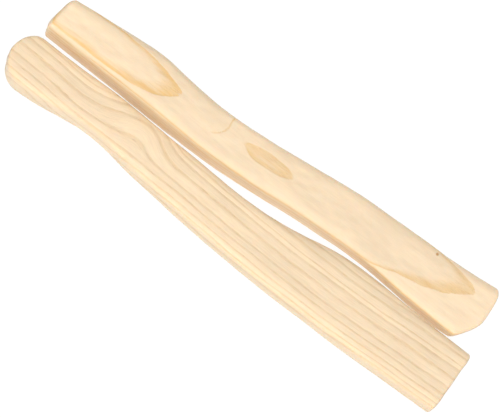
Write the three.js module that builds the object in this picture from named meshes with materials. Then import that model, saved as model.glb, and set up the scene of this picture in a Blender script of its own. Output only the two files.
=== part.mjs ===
// A pair of hand-shaped wooden claves lying side by side, as they are put down after playing.
// Each clave is one solid piece of ash: sawn to a side outline and an edge outline, then rounded over.
// Frame: X along the sticks, Z up, origin on the table below the middle of the pair. Millimetres.
//
// A clave's own frame: x runs from the tip of its rounded knob (0) to its square-cut end (its length),
// +y points to its back, -y to its belly, and its two cheeks face +z and -z.

import * as THREE from "three";

// Driving sizes
const HELD_LENGTH = 200; // the clave that lies in the cupped hand
const STRIKING_LENGTH = 191; // the clave that strikes it
const CENTRES_APART = 23.5; // the two centre lines, side by side
const STRIKING_SET_IN = 4.1; // how far its knob stops short of the held clave's square end
const LAND_DEPTH = 0.25; // how deep the sanded resting lands are cut into the underside

// Outlines of the pattern: [share of the length from the knob, distance from the centre line]
const OUTLINES = {
  back: smoothCurve([0, 11.7], [0.1, 11.2], [0.22, 11.6], [0.36, 10.2], [0.5, 8.7], [0.6, 9.8],
    [0.7, 13.3], [0.76, 13.8], [0.86, 13.0], [1, 12.2]),
  belly: smoothCurve([0, 7.6], [0.07, 7.6], [0.2, 4.9], [0.32, 7.9], [0.45, 10.9], [0.6, 13.1],
    [0.75, 13.4], [1, 12.9]),
  left: smoothCurve([0, 14.8], [0.12, 13.2], [0.32, 12.1], [0.48, 9.4], [0.64, 6.8],
    [0.72, 7.4], [0.79, 8.8], [0.9, 7.4], [1, 5.8]),
  right: smoothCurve([0, 9.5], [0.12, 8.8], [0.28, 7.0], [0.4, 7.8], [0.52, 9.4],
    [0.64, 10.4], [0.82, 9.6], [1, 8.7]),
};

// Rounded corners where the outlines meet the knob: reach along the clave, depth across it.
// Each knob is rounded in the outline that faces the player and only eased at its upper edge.
const HELD_KNOB = {
  back: { reach: 7.2, depth: 10.4 },
  belly: { reach: 9.5, depth: 9.3 },
  left: { reach: 5, depth: 5 },
  right: { reach: 1.6, depth: 1.6 },
};
const STRIKING_KNOB = {
  back: { reach: 1.6, depth: 1.6 },
  belly: { reach: 14, depth: 12, power: 1.25 },
  left: { reach: 3.2, depth: 8.5 },
  right: { reach: 6.4, depth: 10, power: 1.25 },
};

// The eased corner at the sawn end, and the slant of the striking clave's, whose left cheek is the shorter
const HELD_SQUARE = { reach: 1.1, depth: 1.9 };
const STRIKING_SQUARE = { reach: 1.6, depth: 2.6 };
const STRIKING_SLANT = THREE.MathUtils.degToRad(7.5);
const SLANT_REACH = 14; // how far from the end the rings start to lean over to the cut

const FLATNESS = 0.7; // how much of its pattern's depth a clave has between the side it lies on and the top
const SQUARENESS = 7; // of a cross-section: 2 is an ellipse, larger is squarer

// Mesh density
const AROUND = 32;
const BODY_RINGS = 46;
const CORNER_RINGS = 6;
const TIP_SLICE = 0.012; // the knob's last ring is this far from its tip

const HELD_WOOD = new THREE.MeshStandardMaterial({ color: 0xf7dfc0, roughness: 0.55, metalness: 0 });
const STRIKING_WOOD = new THREE.MeshStandardMaterial({ color: 0xfae2c0, roughness: 0.5, metalness: 0 });

// A smooth curve through [share, distance] points.
function smoothCurve(...points) {
  const curve = new THREE.CubicInterpolant(
    points.map((point) => point[0]),
    points.map((point) => point[1]),
    1,
  );
  return (share) => curve.evaluate(share)[0];
}

// What a rounded corner takes off an edge at some distance from the end. Power 1 would be a chamfer.
function cornerLoss(distance, { reach, depth, power = 2 }) {
  if (distance >= reach) return 0;
  const share = 1 - distance / reach;
  return depth * (1 - (1 - share ** power) ** (1 / power));
}

// The four edges of the cross-section at x, as distances from the centre line.
function edgesAt(x, { length, knob, square, flattened }) {
  const edges = {};
  for (const [side, outline] of Object.entries(OUTLINES)) {
    const edge = outline(x / length) - cornerLoss(x, knob[side]) - cornerLoss(length - x, square);
    edges[side] = flattened.includes(side) ? edge * FLATNESS : edge;
  }
  return edges;
}

// Where the rings of a clave lie along it: close together in the corners, evenly spaced between them.
function ringPlaces({ length, knob, square }) {
  const knobReach = Math.max(...Object.values(knob).map((corner) => corner.reach));
  const places = [TIP_SLICE];
  for (let i = 1; i < CORNER_RINGS; i++)
    places.push(knobReach * (1 - Math.cos((i / CORNER_RINGS) * (Math.PI / 2))));
  for (let i = 0; i <= BODY_RINGS; i++)
    places.push(THREE.MathUtils.lerp(knobReach, length - square.reach, i / BODY_RINGS));
  for (let i = 1; i <= CORNER_RINGS; i++)
    places.push(length - square.reach * (1 - Math.sin((i / CORNER_RINGS) * (Math.PI / 2))));
  return places;
}

const signedPower = (value, power) => Math.sign(value) * Math.abs(value) ** power;

// The points of one ring, a rounded rectangle between the four edges. upCheek is the cheek that faces +z.
function ringPoints(x, shape) {
  const { length, slant, upCheek } = shape;
  const edges = edgesAt(x, shape);
  const up = edges[upCheek];
  const down = edges[upCheek === "left" ? "right" : "left"];
  const lean = Math.tan(slant) * THREE.MathUtils.smoothstep(x, length - SLANT_REACH, length);
  const points = [];
  for (let j = 0; j < AROUND; j++) {
    const angle = (j / AROUND) * 2 * Math.PI;
    const across = signedPower(Math.cos(angle), 2 / SQUARENESS);
    const upwards = signedPower(Math.sin(angle), 2 / SQUARENESS);
    const y = (edges.back - edges.belly) / 2 + ((edges.back + edges.belly) / 2) * across;
    const z = (up - down) / 2 + ((up + down) / 2) * upwards;
    const pastRightCheek = upCheek === "right" ? up - z : down + z;
    points.push(new THREE.Vector3(x - lean * pastRightCheek, y, z));
  }
  return points;
}

// The line that a resting clave touches the table along: the lower hull's edge under its middle.
function restingLine(profile, middle) {
  for (const from of profile)
    for (const to of profile) {
      if (!(from.x < middle && to.x > middle)) continue;
      const slope = (to.low - from.low) / (to.x - from.x);
      if (profile.every((p) => p.low >= from.low + slope * (p.x - from.x) - 1e-9))
        return { slope, at: (x) => from.low + slope * (x - from.x) };
    }
  throw new Error("the underside has no resting line");
}

// Joins the rings into one closed surface, with a flat cap on each end.
function skin(rings) {
  const points = rings.flat();
  const first = 0;
  const last = (rings.length - 1) * AROUND;
  const middleOf = (ring) =>
    ring.reduce((sum, point) => sum.add(point), new THREE.Vector3()).divideScalar(ring.length);
  const knobMiddle = points.push(middleOf(rings[0])) - 1;
  const squareMiddle = points.push(middleOf(rings[rings.length - 1])) - 1;
  const triangles = [];
  for (let j = 0; j < AROUND; j++) {
    const next = (j + 1) % AROUND;
    triangles.push(knobMiddle, first + next, first + j);
    triangles.push(squareMiddle, last + j, last + next);
    for (let i = 0; i + 1 < rings.length; i++) {
      const a = i * AROUND + j;
      const b = i * AROUND + next;
      triangles.push(a, b, b + AROUND);
      triangles.push(a, b + AROUND, a + AROUND);
    }
  }
  const geometry = new THREE.BufferGeometry().setFromPoints(points).setIndex(triangles);
  geometry.computeVertexNormals();
  return geometry;
}

// A clave lying at rest, its knob towards -X, with the negative side of lowAxis facing the table.
// Its underside is sanded flat where it touches.
function clave(name, material, shape) {
  const { length, lowAxis } = shape;
  const rings = ringPlaces(shape).map((x) => ringPoints(x, shape));
  const lowest = (ring) => ring.reduce((low, point) => (point[lowAxis] < low[lowAxis] ? point : low));
  const profile = rings.map(lowest).map((point) => ({ x: point.x, low: point[lowAxis] }));
  const line = restingLine(profile, length / 2);
  for (const point of rings.flat())
    point[lowAxis] = Math.max(point[lowAxis], line.at(point.x) + LAND_DEPTH);

  const mesh = new THREE.Mesh(skin(rings), material);
  mesh.name = name;
  if (lowAxis === "y") mesh.rotation.x = Math.PI / 2; // back up, belly down
  const level = new THREE.Group(); // tips the clave until its resting lands are level
  level.rotation.y = Math.atan(line.slope);
  level.position.z = -(line.at(0) + LAND_DEPTH) * Math.cos(level.rotation.y);
  level.add(mesh);
  return new THREE.Group().add(level);
}

const heldClave = clave("held_clave", HELD_WOOD, {
  length: HELD_LENGTH,
  knob: HELD_KNOB,
  square: HELD_SQUARE,
  slant: 0,
  flattened: ["left", "right"],
  upCheek: "right",
  lowAxis: "z",
});

const strikingClave = clave("striking_clave", STRIKING_WOOD, {
  length: STRIKING_LENGTH,
  knob: STRIKING_KNOB,
  square: STRIKING_SQUARE,
  slant: STRIKING_SLANT,
  flattened: ["back", "belly"],
  upCheek: "left",
  lowAxis: "y",
});
strikingClave.rotation.z = Math.PI; // turned end for end
strikingClave.position.set(HELD_LENGTH - STRIKING_SET_IN, CENTRES_APART, 0);

const pair = new THREE.Group().add(heldClave, strikingClave);
const box = new THREE.Box3().setFromObject(pair, true);
const middle = box.getCenter(new THREE.Vector3());
pair.position.set(-middle.x, -middle.y, -box.min.z);

export default new THREE.Group().add(pair);
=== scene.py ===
"""The looks of a pair of hand-shaped ash claves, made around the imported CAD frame.

Each clave is built finely from the outlines that its CAD solid has. Its growth rings are worked out as a
field through the whole stick, which its material reads on the faces, edges and ends.

A clave's own frame, in millimetres: x runs from the tip of its knob to its square-cut end, y points to its
back, and z to the cheek that its entry in CLAVES names. The scene is in metres.
"""

import math

import bpy
import numpy as np
from mathutils import Matrix, Vector


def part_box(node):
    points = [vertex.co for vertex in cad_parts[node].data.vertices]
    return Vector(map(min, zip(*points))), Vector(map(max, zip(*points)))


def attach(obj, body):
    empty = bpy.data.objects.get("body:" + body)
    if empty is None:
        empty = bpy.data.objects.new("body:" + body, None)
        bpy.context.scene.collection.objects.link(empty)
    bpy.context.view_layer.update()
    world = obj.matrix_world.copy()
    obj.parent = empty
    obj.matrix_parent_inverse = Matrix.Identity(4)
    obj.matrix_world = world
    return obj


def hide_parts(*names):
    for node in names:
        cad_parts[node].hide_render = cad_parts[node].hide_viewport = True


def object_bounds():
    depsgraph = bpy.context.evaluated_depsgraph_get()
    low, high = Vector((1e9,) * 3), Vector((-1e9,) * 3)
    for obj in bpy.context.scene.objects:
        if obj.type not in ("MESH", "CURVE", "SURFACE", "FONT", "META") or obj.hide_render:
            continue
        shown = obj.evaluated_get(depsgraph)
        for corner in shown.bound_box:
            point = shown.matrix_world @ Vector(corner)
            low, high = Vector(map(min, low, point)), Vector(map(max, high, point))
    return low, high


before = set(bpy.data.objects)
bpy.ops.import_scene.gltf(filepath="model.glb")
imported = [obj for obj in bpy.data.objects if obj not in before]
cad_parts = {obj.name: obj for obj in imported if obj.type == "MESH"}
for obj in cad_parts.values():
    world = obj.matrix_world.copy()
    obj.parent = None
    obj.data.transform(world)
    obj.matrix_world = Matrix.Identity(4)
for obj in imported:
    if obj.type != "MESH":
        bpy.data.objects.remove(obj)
cad_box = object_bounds()

MM = 0.001
HELD_LENGTH = 200
STRIKING_LENGTH = 191
LAND_DEPTH = 0.25  # of the sanded lands that a clave rests on

# Outlines of the pattern: (share of the length from the knob, distance from the centre line)
OUTLINES = {
    "back": [(0, 11.7), (0.1, 11.2), (0.22, 11.6), (0.36, 10.2), (0.5, 8.7), (0.6, 9.8), (0.7, 13.3),
             (0.76, 13.8), (0.86, 13.0), (1, 12.2)],
    "belly": [(0, 7.6), (0.07, 7.6), (0.2, 4.9), (0.32, 7.9), (0.45, 10.9), (0.6, 13.1), (0.75, 13.4),
              (1, 12.9)],
    "left": [(0, 14.8), (0.12, 13.2), (0.32, 12.1), (0.48, 9.4), (0.64, 6.8), (0.72, 7.4), (0.79, 8.8),
             (0.9, 7.4), (1, 5.8)],
    "right": [(0, 9.5), (0.12, 8.8), (0.28, 7.0), (0.4, 7.8), (0.52, 9.4), (0.64, 10.4), (0.82, 9.6),
              (1, 8.7)],
}

# Rounded corners at the knob: reach along the clave, depth across it, power (1 would be a chamfer)
HELD_KNOB = {
    "back": (7.2, 10.4, 2),
    "belly": (9.5, 9.3, 2),
    "left": (5, 5, 2),
    "right": (1.6, 1.6, 2),
}
STRIKING_KNOB = {
    "back": (1.6, 1.6, 2),
    "belly": (14, 12, 1.25),
    "left": (3.2, 8.5, 2),
    "right": (6.4, 10, 1.25),
}

# The eased corner at the sawn end, and the slant of the striking clave's, whose left cheek is the shorter
HELD_SQUARE = (1.1, 1.9, 2)
STRIKING_SQUARE = (1.6, 2.6, 2)
STRIKING_SLANT = math.radians(7.5)
SLANT_REACH = 14  # how far from the end the cross-sections start to lean over to the cut

FLATNESS = 0.7  # how much of its pattern's depth a clave has between the side it lies on and the top
SQUARENESS = 7  # of a cross-section: 2 is an ellipse, larger is squarer

# Mesh density
AROUND = 224
TRACE = 1440  # points that a cross-section is traced with, before they are spaced evenly
ALONG = 330
END_ZONE = 9.5  # at both ends the cross-sections lie closer together
END_ZONE_SECTIONS = 24
CAP_LOOPS = 18
TIP_SLICE = 0.012  # the first cross-section is this far from the knob's tip


# ---------------------------------------------------------------- curves

SINES = 14  # that smooth noise is the sum of


def smooth_curve(points):
    """A smooth curve through (x, y) points, as a function of x."""
    xs, ys = np.array(points, float).T
    slopes = np.diff(ys) / np.diff(xs)
    tangents = np.concatenate([[0], (slopes[1:] + slopes[:-1]) / 2, [0]])
    tangents[0] = 1.5 * slopes[0] - 0.5 * tangents[1]
    tangents[-1] = 1.5 * slopes[-1] - 0.5 * tangents[-2]

    def at(x):
        i = np.clip(np.searchsorted(xs, x, side="right") - 1, 0, len(xs) - 2)
        step = xs[i + 1] - xs[i]
        s = (x - xs[i]) / step
        low = ys[i] * (1 + 2 * s) * (1 - s) ** 2 + tangents[i] * step * s * (1 - s) ** 2
        high = ys[i + 1] * s**2 * (3 - 2 * s) + tangents[i + 1] * step * s**2 * (s - 1)
        return low + high

    return at


def smoothstep(low, high, x):
    """0 at low, 1 at high, and smooth between them. Low may be the larger one."""
    s = np.clip((x - low) / (high - low), 0, 1)
    return s * s * (3 - 2 * s)


def waves(points, height, lengths, seed):
    """Smooth noise of about that height: sines of random direction, with wavelengths along x, y and z."""
    rng = np.random.default_rng(seed)
    total = np.zeros(len(points))
    for _ in range(SINES):
        turn = rng.normal(size=3)
        turn *= rng.uniform(0.6, 1.6) * 2 * math.pi / np.linalg.norm(turn)
        total += np.sin(points @ (turn / np.array(lengths)) + rng.uniform(0, 2 * math.pi))
    return height * (total / math.sqrt(SINES))


# ---------------------------------------------------------------- shape


def corner_loss(distance, reach, depth, power):
    """What a rounded corner takes off an edge, at some distance from the end."""
    share = np.clip(1 - distance / reach, 0, 1)
    return depth * (1 - (1 - share**power) ** (1 / power))


def edges_at(x, spec):
    """The four edges of the cross-sections at x, as distances from the centre line."""
    edges = {}
    for side, points in OUTLINES.items():
        taken = corner_loss(x, *spec["knob"][side]) + corner_loss(spec["length"] - x, *spec["square"])
        edges[side] = smooth_curve(points)(x / spec["length"]) - taken
    for side in spec["flattened"]:
        edges[side] = edges[side] * FLATNESS
    return edges


def section_places(length):
    """Where the cross-sections lie: closer together towards both ends."""
    ease = 1 - np.cos(np.linspace(0, math.pi / 2, END_ZONE_SECTIONS, endpoint=False))
    knob = TIP_SLICE + (END_ZONE - TIP_SLICE) * ease
    square = length - END_ZONE * ease[::-1]
    return np.concatenate([knob, np.linspace(END_ZONE, length - END_ZONE, ALONG)[:-1], square])


def sections(spec):
    """Every cross-section as evenly spaced points, an array [section, point, xyz]."""
    length, cheek = spec["length"], spec["cheek"]
    x = section_places(length)
    edges = edges_at(x, spec)
    other = {"left": "right", "right": "left"}[cheek]
    lean = math.tan(spec["slant"]) * smoothstep(length - SLANT_REACH, length, x)
    angle = np.linspace(0, 2 * math.pi, TRACE)
    across = np.sign(np.cos(angle)) * np.abs(np.cos(angle)) ** (2 / SQUARENESS)
    upwards = np.sign(np.sin(angle)) * np.abs(np.sin(angle)) ** (2 / SQUARENESS)
    out = np.empty((len(x), AROUND, 3))
    for i in range(len(x)):
        back, belly, up, down = (edges[side][i] for side in ("back", "belly", cheek, other))
        y = (back - belly) / 2 + (back + belly) / 2 * across
        z = (up - down) / 2 + (up + down) / 2 * upwards
        walked = np.concatenate([[0], np.cumsum(np.hypot(np.diff(y), np.diff(z)))])
        even = np.linspace(0, walked[-1], AROUND, endpoint=False)
        y, z = np.interp(even, walked, y), np.interp(even, walked, z)
        past_right_cheek = up - z if cheek == "right" else down + z
        out[i] = np.stack([x[i] - lean[i] * past_right_cheek, y, z], 1)
    return out


def with_caps(rings):
    """Adds loops that shrink to the middle of both ends, so that these are finely meshed too."""
    shrink = np.linspace(1, 0, CAP_LOOPS + 1)[1:-1]

    def loops(ring):
        middle = ring.mean(0)
        return np.array([middle + (ring - middle) * s for s in shrink])

    return np.concatenate([loops(rings[0])[::-1], rings, loops(rings[-1])])


def skin(rings):
    """Points and faces of the closed surface over the rings."""
    rows = len(rings)
    points = np.concatenate([rings.reshape(-1, 3), rings[0].mean(0)[None], rings[-1].mean(0)[None]])
    i, j = np.meshgrid(np.arange(rows - 1), np.arange(AROUND), indexing="ij")
    a = i * AROUND + j
    b = i * AROUND + (j + 1) % AROUND
    quads = np.stack([a, b, b + AROUND, a + AROUND], -1).reshape(-1, 4)
    j = np.arange(AROUND)
    turn = (j + 1) % AROUND
    first = np.stack([np.full(AROUND, rows * AROUND), turn, j], 1)
    last = (rows - 1) * AROUND
    final = np.stack([np.full(AROUND, rows * AROUND + 1), last + j, last + turn], 1)
    return points, quads.tolist() + first.tolist() + final.tolist()


def resting_slope(x, low):
    """The slope of the line that a clave rests along: the edge of its lower hull under its middle."""
    hull = []
    for point in zip(x, low):
        while len(hull) > 1:
            (ax, ay), (bx, by) = hull[-2:]
            if (bx - ax) * (point[1] - ay) > (by - ay) * (point[0] - ax):
                break
            hull.pop()
        hull.append(point)
    middle = (x[0] + x[-1]) / 2
    for a, b in zip(hull, hull[1:]):
        if a[0] <= middle < b[0]:
            return (b[1] - a[1]) / (b[0] - a[0])


def normals_of(points, faces):
    """Unit normals at the points of a mesh."""
    mesh = bpy.data.meshes.new("trial")
    mesh.from_pydata(points.tolist(), [], faces)
    normals = np.empty(len(points) * 3)
    mesh.vertices.foreach_get("normal", normals)
    bpy.data.meshes.remove(mesh)
    return normals.reshape(-1, 3)


# ---------------------------------------------------------------- growth rings
# A ring field counts years towards the bark. A year starts at a whole number, with its porous earlywood.

# The held clave: rings seen on edge, nearly square to its cheeks.
HELD_RING_LEAN = math.radians(17)
HELD_PITH_AWAY = 90  # the rings' radius where the clave was sawn from the log
HELD_FIRST_RING = -25.6  # where the first ring starts
HELD_RING_WIDTHS = [2.3, 1.9, 2.6, 2.1, 2.8, 2.3, 1.6, 2.1, 2.5, 2.6, 4.2, 3.3, 1.7, 3.1, 2.5, 2.2, 2.9,
                    2.0, 2.6]
# How far the rings drift towards the back, along the clave
HELD_DRIFT = smooth_curve([(0, 5.2), (14, 4.6), (32, 3.3), (80, 2.2), (104, 0.8), (128, 0.1), (152, 0),
                           (177, 1.0), (200, 1.6)])
SWELL_AT = 56  # the grain swells round a knot that was cut away here
SWELL_HEIGHT = 6.5
SWELL_REACH = (15.0, 11.0)  # towards the knob, and away from it
SWELL_GROWS = (-6, 9)  # across the clave, from nothing towards its back


def held_rings(p):
    """Years at the points p of the held clave, and their place across the rings in mm."""
    x, y, z = p.T
    lean = math.cos(HELD_RING_LEAN), math.sin(HELD_RING_LEAN)
    outward = y * lean[0] + z * lean[1]
    sideways = z * lean[0] - y * lean[1]
    spread = np.where(x < SWELL_AT, *SWELL_REACH)
    swell = SWELL_HEIGHT * smoothstep(*SWELL_GROWS, y) * np.exp(-(((x - SWELL_AT) / spread) ** 2))
    place = outward - sideways**2 / (2 * HELD_PITH_AWAY) - HELD_DRIFT(x) - swell
    place += waves(p, height=0.16, lengths=(26, 6, 9), seed=3)
    starts = HELD_FIRST_RING + np.concatenate([[0], np.cumsum(HELD_RING_WIDTHS)])
    return -np.interp(place, starts, np.arange(len(starts))), place


# The striking clave: flat-sawn, its rings lying in layers under its back, which shows them in four figures.
STRIKING_LAYERS = [2.6, 2.9, 2.2, 3.4, 2.5, 3.0, 2.1, 2.7, 3.1, 2.4, 2.8, 3.0]
STRIKING_LAYER = 2.8  # about how thick a layer is
STRIKING_PITH_AWAY = 75  # the layers' radius across the clave
ARCH_FULL_AT = 8  # the depth under the back at which the layers are fully arched
PLAIN = 0.7  # how far into its year the wood is, where the back shows no figure

# Years gained on the way into a figure, against the distance inside its outline along the grain
INTO_FIGURE = [(-1.4, 0.0), (-0.3, 0.2), (0, 0.3), (2, 0.38), (5, 0.5), (9, 0.66), (18, 0.88), (30, 1.0)]
INTO_OVAL = [(-0.8, 0.0), (0, -0.35), (0.4, -0.68), (1.2, -0.55), (3, -0.46)]
BLUNTNESS = 0.7  # of a figure's tip
SIDES_BLEND = 1.5  # how far from its middle line a figure's two sides blend into each other
OUTERMOST = 0.995  # a point further out than this share of a figure's width counts as lying there

# Where each figure lies on the back, as x and z, and its shape there
TONGUE_TIP = (136.4, 1.0)
TONGUE_PACE = 0.8  # how fast years are gained inside it
ARROW_TIP = (7.6, 7.6)
ARROW_PACE = 0.85
ARROW_LEFT_OPENS = (19, 0.03)  # wider from this x on, and by this share for each millimetre
ARROW_RIGHT_OPENS = (37, 0.025)
OVAL_MIDDLE = (97.6, 0.95)
OVAL_RADII = (10.9, 3.0)
OVAL_TILT = 0.045
ARC_MIDDLE = (124.5, 4.3)
ARC_RADII = (8.3, 9.3)
ARC_HALF_WIDTH = 0.6
ARC_YEARS = 0.6
ARC_FADES_ROUND = (0.1, 0.7)  # it shows only on the side of its oval towards the knob
ARC_FADES_DOWN = (2.5, 1.0)  # with depth under the back


def inside_figure(along, across, widths, tip_lengths, stretch):
    """How far a point lies along the grain inside a pointed outline, whose two sides curve out from its tip.

    Each pair holds the values of the left and the right side. A millimetre across the grain counts for at
    most stretch millimetres along it.
    """
    side = smoothstep(SIDES_BLEND, -SIDES_BLEND, across)
    width, tip_length, most = (left + (right - left) * side for left, right in (widths, tip_lengths, stretch))
    share = np.minimum(np.sqrt(across**2 + BLUNTNESS**2) / width, OUTERMOST)
    inside = along + tip_length * np.log(1 - share)
    return np.where(inside > 0, np.minimum(inside, most * (1 - share) * width), inside)


def inside_oval(x, z, middle, radii):
    """Distance inside an oval, and how far round it a point lies: 1 towards the knob, -1 away from it."""
    away = np.hypot((x - middle[0]) / radii[0], (z - middle[1]) / radii[1])
    return (1 - away) * min(radii), (middle[0] - x) / radii[0] / np.maximum(away, 1e-6)


def tongue(x, z):
    """Years gained inside the pale tongue that comes in from the square-cut end."""
    along, across = x - TONGUE_TIP[0], z - TONGUE_TIP[1]
    inside = inside_figure(along, across, widths=(7.0, 9.9), tip_lengths=(16, 8), stretch=(7, 2.6))
    return np.interp(inside * TONGUE_PACE, *zip(*INTO_FIGURE))


def arrow(x, z):
    """Years gained inside the arrow near the knob, which opens towards the square-cut end."""
    left, right = (
        1 + rate * np.maximum(x - start, 0) for start, rate in (ARROW_LEFT_OPENS, ARROW_RIGHT_OPENS)
    )
    across = (z - ARROW_TIP[1]) / np.where(z > ARROW_TIP[1], left, right)
    inside = inside_figure(
        x - ARROW_TIP[0], across, widths=(4.6, 13.5), tip_lengths=(5, 15), stretch=(20, 20)
    )
    return np.interp(inside * ARROW_PACE, *zip(*INTO_FIGURE))


def oval(x, z, straight_x):
    """Years gained inside the oval near the middle, which are negative. Its tilt follows straight_x."""
    tilted_z = z + OVAL_TILT * (straight_x - OVAL_MIDDLE[0])
    inside, _ = inside_oval(x, tilted_z, OVAL_MIDDLE, OVAL_RADII)
    return np.interp(inside, *zip(*INTO_OVAL))


def arc(x, z, depth):
    """Years lost along the thin arc between the oval and the tongue."""
    inside, knobwards = inside_oval(x, z, ARC_MIDDLE, ARC_RADII)
    line = ARC_YEARS * np.exp(-((inside / ARC_HALF_WIDTH) ** 2))
    return line * smoothstep(*ARC_FADES_ROUND, knobwards) * smoothstep(*ARC_FADES_DOWN, depth)


def striking_rings(p):
    """Years at the points p of the striking clave, and about their place across the rings in mm."""
    x, y, z = p.T
    wavy_x = x + waves(p, height=0.5, lengths=(9, 5, 5), seed=21)
    wavy_z = z + waves(p, height=0.25, lengths=(12, 5, 5), seed=22)
    depth = FLATNESS * smooth_curve(OUTLINES["back"])(x / STRIKING_LENGTH) - y
    years = PLAIN + arrow(wavy_x, wavy_z)
    years += tongue(wavy_x, wavy_z)
    years += oval(wavy_x, wavy_z, x)
    years -= arc(wavy_x, wavy_z, depth)
    starts = np.concatenate([[0], np.cumsum(STRIKING_LAYERS)])
    layers = np.interp(depth, starts, np.arange(len(starts)))
    arch = z**2 / (2 * STRIKING_PITH_AWAY * STRIKING_LAYER) * smoothstep(0, ARCH_FULL_AT, depth)
    years = years - layers + arch + waves(p, height=0.03, lengths=(24, 7, 7), seed=5)
    return years, years * STRIKING_LAYER


# ---------------------------------------------------------------- making a clave

# cheek is the one that faces +z in the clave's own frame. Roll and turn lay it down from there, with the side
# that it rests_on underneath.
CLAVES = {
    "held_clave": {
        "length": HELD_LENGTH,
        "knob": HELD_KNOB,
        "square": HELD_SQUARE,
        "slant": 0,
        "cheek": "right",
        "flattened": ("left", "right"),
        "rests_on": "left",
        "roll": 0,
        "turn": 0,
        "rings": held_rings,
    },
    "striking_clave": {
        "length": STRIKING_LENGTH,
        "knob": STRIKING_KNOB,
        "square": STRIKING_SQUARE,
        "slant": STRIKING_SLANT,
        "cheek": "left",
        "flattened": ("back", "belly"),
        "rests_on": "belly",
        "roll": math.pi / 2,
        "turn": math.pi,
        "rings": striking_rings,
    },
}

PORES_SINK = 0.035  # how deep the porous start of a year is worn in
EARLY_ENDS = (0.02, 0.3)  # the shares of a year between which that fades out


def shaping(p, years):
    """How far the surface stands out, in mm: the slight waviness of hand shaping, and sunken porous bands."""
    early = 1 - smoothstep(*EARLY_ENDS, years % 1)
    broad = waves(p, height=0.09, lengths=(34, 10, 10), seed=11)
    fine = waves(p, height=0.03, lengths=(9, 4, 4), seed=12)
    return broad + fine - PORES_SINK * early


def lie_down(points, spec, node):
    """Own coordinates to the scene's: rolled, tipped until it rests, turned, and set over the CAD solid."""
    x = section_places(spec["length"])
    slope = resting_slope(x, -edges_at(x, spec)[spec["rests_on"]])
    pose = Matrix.Rotation(spec["turn"], 3, "Z") @ Matrix.Rotation(math.atan(slope), 3, "Y")
    pose = pose @ Matrix.Rotation(spec["roll"], 3, "X")
    placed = points @ np.array(pose).T * MM
    low, high = (np.array(corner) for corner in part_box(node))
    placed += (low + high) / 2 - (placed.min(0) + placed.max(0)) / 2
    placed[:, 2] -= placed[:, 2].min() + LAND_DEPTH * MM
    placed[:, 2] = np.maximum(placed[:, 2], 0)
    return placed


def add_attribute(mesh, name, kind, values):
    """Gives every point of the mesh a value that its material reads."""
    field = {"FLOAT": "value", "FLOAT_VECTOR": "vector"}[kind]
    flat = np.ascontiguousarray(values, np.float32).ravel()
    mesh.attributes.new(name, kind, "POINT").data.foreach_set(field, flat)


def make_clave(node, material):
    """The finely meshed clave that stands for a CAD node."""
    spec = CLAVES[node]
    points, faces = skin(with_caps(sections(spec)))
    normals = normals_of(points, faces)
    years, place = spec["rings"](points)
    shaped = points + normals * shaping(points, years)[:, None]
    mesh = bpy.data.meshes.new(node + "_wood")
    mesh.from_pydata(lie_down(shaped, spec, node).tolist(), [], faces)
    add_attribute(mesh, "years", "FLOAT", years)
    add_attribute(mesh, "end_grain", "FLOAT", np.abs(normals[:, 0]))
    add_attribute(mesh, "grain", "FLOAT_VECTOR", np.stack([points[:, 0], place, points[:, 2]], 1))
    add_attribute(mesh, "own", "FLOAT_VECTOR", points)
    mesh.polygons.foreach_set("use_smooth", [True] * len(mesh.polygons))
    mesh.materials.append(material)
    piece = bpy.data.objects.new(node + "_wood", mesh)
    bpy.context.scene.collection.objects.link(piece)
    return piece


# ---------------------------------------------------------------- ash


class Graph:
    """A material's node tree, with one short call for each kind of node."""

    def __init__(self, material):
        material.use_nodes = True
        self.tree = material.node_tree
        self.tree.nodes.clear()

    def add(self, kind, inputs=None, **settings):
        node = self.tree.nodes.new("ShaderNode" + kind)
        for name, value in settings.items():
            setattr(node, name, value)
        for name, value in (inputs or {}).items():
            if isinstance(value, bpy.types.NodeSocket):
                self.tree.links.new(value, node.inputs[name])
            else:
                node.inputs[name].default_value = value
        return node

    def attribute(self, name, output):
        return self.add("Attribute", attribute_name=name).outputs[output]

    def math(self, operation, *values):
        return self.add("Math", dict(enumerate(values)), operation=operation).outputs[0]

    def stretched(self, vector, scale):
        return self.add("VectorMath", {0: vector, 1: scale}, operation="MULTIPLY").outputs[0]

    def noise(self, vector, scale, detail=2.0, roughness=0.5):
        """Noise of 0 to 1. Scale is how often it varies in a millimetre along x, y and z."""
        stretched = self.stretched(vector, scale)
        inputs = {"Vector": stretched, "Scale": 1.0, "Detail": detail, "Roughness": roughness}
        return self.add("TexNoise", inputs).outputs["Fac"]

    def fade(self, value, start, end, low=0.0, high=1.0):
        """Low where the value is start, high where it is end, and smooth between them."""
        inputs = {"Value": value, "From Min": start, "From Max": end, "To Min": low, "To Max": high}
        return self.add("MapRange", inputs, interpolation_type="SMOOTHSTEP").outputs["Result"]

    def mix(self, factor, a, b, blend="MIX"):
        node = self.add("Mix", data_type="RGBA", blend_type=blend)
        for socket, value in ((0, factor), (6, a), (7, b)):
            if isinstance(value, bpy.types.NodeSocket):
                self.tree.links.new(value, node.inputs[socket])
            else:
                node.inputs[socket].default_value = value
        return node.outputs[2]


def rgb(red, green, blue):
    return (red, green, blue, 1.0)


# How often each texture varies in a millimetre: along the grain, and twice across it
WOBBLES = (0.09, 1.1, 1.1)
PATCHES = (0.045, 0.7, 0.7)
PORES = (0.32, 4.6, 4.6)
FIBRES = (0.16, 5.5, 5.5)
STREAKS = (0.05, 1.5, 1.5)
CLOUDS = (0.03, 0.11, 0.11)

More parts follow.
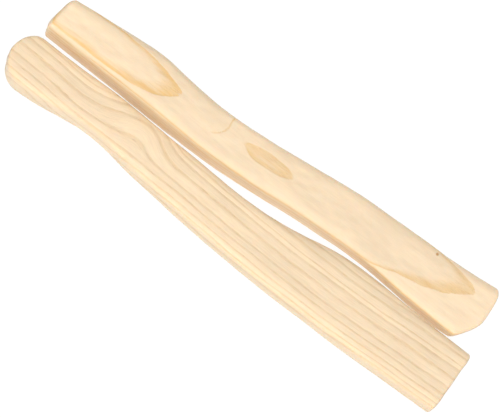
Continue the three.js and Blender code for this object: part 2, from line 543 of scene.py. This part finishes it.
WOBBLE = 0.26  # years that a ring's line wanders by, from side to side
PORE_STRENGTH = 0.4
PORE_BROWN = rgb(0.42, 0.27, 0.13)
KNOT_BROWN = rgb(0.45, 0.25, 0.09)
SPECULAR = 0.4
TRANSLUCENCE = 0.5  # how much of the light goes through the wood before it comes out
LIGHT_REACH = 0.003  # how far it goes, in metres
REACH_BY_COLOUR = (1.0, 0.6, 0.35)  # shares of that for red, green and blue light
BUMP_STRENGTH = 0.45
BUMP_HEIGHT = 0.00012  # in metres


def growth_rings(g, grain, early, late):
    """The colour of the rings, how porous the wood is, and a random number of 0 to 1 for each year."""
    wobble = g.math("MULTIPLY_ADD", g.noise(grain, WOBBLES, 4.0, 0.6), WOBBLE, -WOBBLE / 2)
    year = g.math("ADD", g.attribute("years", "Fac"), wobble)
    share = g.math("FRACT", year)
    which = g.add("TexWhiteNoise", {"W": g.math("FLOOR", year)}, noise_dimensions="1D").outputs["Value"]

    # A year's porous start fades into the wood after it, and is bolder in some years and places
    earlywood = g.math("MAXIMUM", g.fade(share, 0.4, 0.06), g.fade(share, 0.93, 1.0, 0.0, 0.7))
    patchy = g.fade(g.noise(grain, PATCHES), 0.3, 0.7, 0.6, 1.0)
    boldness = g.math("MULTIPLY", patchy, g.math("MULTIPLY_ADD", which, 0.35, 0.7))
    return g.mix(g.math("MULTIPLY", earlywood, boldness), late, early), earlywood, which


def pores_in(g, grain, earlywood):
    """Where the wood has open pores: thickly in the porous start of a year, thinly elsewhere."""
    spots = g.fade(g.noise(grain, PORES, 3.0, 0.62), 0.55, 0.72)
    return g.math("MULTIPLY", spots, g.math("MULTIPLY_ADD", earlywood, 0.85, 0.12))


def toned(g, colour, grain, own, which, fibre, streaking):
    """The colour made lighter and darker by year, fibre, streak and cloud, and darker on the end grain."""
    streaks = g.noise(grain, STREAKS, 3.0, 0.6)
    cloud = g.noise(own, CLOUDS)
    end_grain = g.fade(g.attribute("end_grain", "Fac"), 0.6, 0.95)
    tone = g.math("MULTIPLY_ADD", which, 0.07, 0.965)
    for factor in (
        g.fade(fibre, 0.3, 0.7, 1 - 0.06 * streaking, 1 + 0.05 * streaking),
        g.fade(streaks, 0.3, 0.7, 1 - 0.03 * streaking, 1 + 0.03 * streaking),
        g.fade(cloud, 0.35, 0.65, 0.97, 1.02),
        g.math("MULTIPLY_ADD", end_grain, -0.16, 1.0),
    ):
        tone = g.math("MULTIPLY", tone, factor)
    grey = g.add("CombineColor", {0: tone, 1: tone, 2: tone}).outputs[0]
    return g.mix(1.0, colour, grey, "MULTIPLY")


def with_knot(g, colour, own, at, radius):
    """The colour with a small dark knot at a place in the clave's own frame."""
    away = g.add("VectorMath", {0: own, 1: at}, operation="DISTANCE").outputs["Value"]
    return g.mix(g.fade(away, radius * 1.6, radius * 0.5), colour, KNOT_BROWN)


def wood_shader(g, colour, pores, fibre, earlywood):
    """Lightly oiled wood, whose pores and porous bands lie a little deeper than the rest."""
    roughness = g.math("MULTIPLY_ADD", pores, 0.25, g.fade(fibre, 0.3, 0.7, 0.38, 0.48))
    height = g.math("MULTIPLY_ADD", pores, -0.9, g.math("MULTIPLY", fibre, 0.35))
    height = g.math("MULTIPLY_ADD", earlywood, -0.3, height)
    bump = g.add("Bump", {"Height": height, "Strength": BUMP_STRENGTH, "Distance": BUMP_HEIGHT})
    inputs = {"Base Color": colour, "Roughness": roughness, "Normal": bump.outputs[0]}
    shader = g.add("BsdfPrincipled", inputs)
    shader.inputs["Specular IOR Level"].default_value = SPECULAR
    shader.inputs["Subsurface Weight"].default_value = TRANSLUCENCE
    shader.inputs["Subsurface Radius"].default_value = REACH_BY_COLOUR
    shader.inputs["Subsurface Scale"].default_value = LIGHT_REACH
    return shader


def ash(name, early, late, streaking=1.0, knot=None):
    """Ash: early is the colour of a year's porous start, late of the wood after it.

    Streaking is how strongly fibres, streaks and pores show. Knot says where its one knot is, and how big.
    """
    material = bpy.data.materials.new(name)
    g = Graph(material)
    grain = g.attribute("grain", "Vector")
    own = g.attribute("own", "Vector")
    colour, earlywood, which = growth_rings(g, grain, early, late)
    pores = pores_in(g, grain, earlywood)
    fibre = g.noise(grain, FIBRES, 4.0, 0.7)
    colour = g.mix(g.math("MULTIPLY", pores, PORE_STRENGTH * streaking), colour, PORE_BROWN)
    colour = toned(g, colour, grain, own, which, fibre, streaking)
    if knot:
        colour = with_knot(g, colour, own, knot["at"], knot["radius"])
    shader = wood_shader(g, colour, pores, fibre, earlywood)
    g.add("OutputMaterial", {"Surface": shader.outputs[0]})
    return material


held_ash = ash("held_ash", early=rgb(0.655, 0.49, 0.30), late=rgb(0.745, 0.595, 0.415))
striking_ash = ash(
    "striking_ash",
    early=rgb(0.69, 0.455, 0.185),
    late=rgb(0.762, 0.61, 0.428),
    streaking=0.55,
    knot={"at": (28.0, 7.9, 11.0), "radius": 0.55},
)

for node, slot, material in (
    ("held_clave", "held_ash", held_ash),
    ("striking_clave", "striking_ash", striking_ash),
):
    piece = make_clave(node, material)
    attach(piece, node)
    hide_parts(node)


# ---------------------------------------------------------------- floor, light and camera

FLOOR_SIZE = 12.0
FLOOR_GREY = 0.12
FLOOR_GLOW = 0.9  # it glows like a light table, so that it is white and takes hardly any shadow
SKY_GLOW = 0.42
SOFTBOX_SIZE = (1.6, 0.9)
CAMERA_ELEVATION = math.radians(76)
CAMERA_ROLL = math.radians(36.5)
CAMERA_DISTANCE = 1.0
FRAME_WIDTH = 0.1816  # how much the frame takes in at that distance
AIM = (0.0036, -0.0047)  # just beside the middle of the pair
AIM_HEIGHT = 0.4  # as a share of the pair's height


def make_floor():
    """A plain pale floor."""
    half = FLOOR_SIZE / 2
    mesh = bpy.data.meshes.new("floor")
    corners = [(-half, -half, 0), (half, -half, 0), (half, half, 0), (-half, half, 0)]
    mesh.from_pydata(corners, [], [(0, 1, 2, 3)])
    material = bpy.data.materials.new("pale_floor")
    g = Graph(material)
    grey = rgb(FLOOR_GREY, FLOOR_GREY, FLOOR_GREY)
    shader = g.add("BsdfPrincipled", {"Base Color": grey, "Roughness": 0.9})
    shader.inputs["Specular IOR Level"].default_value = 0.0
    shader.inputs["Emission Color"].default_value = rgb(1, 1, 1)
    shader.inputs["Emission Strength"].default_value = FLOOR_GLOW
    g.add("OutputMaterial", {"Surface": shader.outputs[0]})
    mesh.materials.append(material)
    floor = bpy.data.objects.new("floor", mesh)
    bpy.context.scene.collection.objects.link(floor)


def make_light():
    """Soft studio light: an even sky, a softbox overhead, and a warm fill from the front."""
    world = bpy.data.worlds.new("studio")
    world.use_nodes = True
    sky = world.node_tree.nodes["Background"]
    sky.inputs["Color"].default_value = rgb(1, 1, 1)
    sky.inputs["Strength"].default_value = SKY_GLOW
    bpy.context.scene.world = world
    add_softbox("overhead_softbox", location=(0.05, -0.1, 1.19), watts=12.6, colour=(1, 1, 1))
    fill = add_softbox("fill", location=(0.05, -1.0, 0.58), watts=8.6, colour=(1, 0.93, 0.81))
    fill.use_shadow = False  # it opens up the narrow gap between the sticks


def add_softbox(name, location, watts, colour):
    """A softbox that faces the floor under the middle of the pair. Returns its light."""
    data = bpy.data.lights.new(name, "AREA")
    data.shape = "RECTANGLE"
    data.size, data.size_y = SOFTBOX_SIZE
    data.energy = watts
    data.color = colour
    softbox = bpy.data.objects.new(name, data)
    softbox.location = location
    softbox.rotation_euler = (-softbox.location).to_track_quat("-Z", "Y").to_euler()
    bpy.context.scene.collection.objects.link(softbox)
    return data


def make_camera():
    """Nearly overhead, and rolled so that the sticks slant across the frame."""
    low, high = cad_box
    aim = Vector((*AIM, (high.z - low.z) * AIM_HEIGHT))
    back = Vector((0, -math.cos(CAMERA_ELEVATION), math.sin(CAMERA_ELEVATION)))
    across = Vector((1, 0, 0))
    up = back.cross(across)
    right = across * math.cos(CAMERA_ROLL) + up * math.sin(CAMERA_ROLL)
    top = up * math.cos(CAMERA_ROLL) - across * math.sin(CAMERA_ROLL)
    data = bpy.data.cameras.new("camera")
    data.lens = data.sensor_width * CAMERA_DISTANCE / FRAME_WIDTH
    camera = bpy.data.objects.new("camera", data)
    turn = Matrix((right, top, back)).transposed().to_4x4()
    camera.matrix_world = Matrix.Translation(aim + back * CAMERA_DISTANCE) @ turn
    bpy.context.scene.collection.objects.link(camera)
    bpy.context.scene.camera = camera


make_floor()
make_light()
make_camera()
bpy.context.scene.view_settings.view_transform = "Standard"
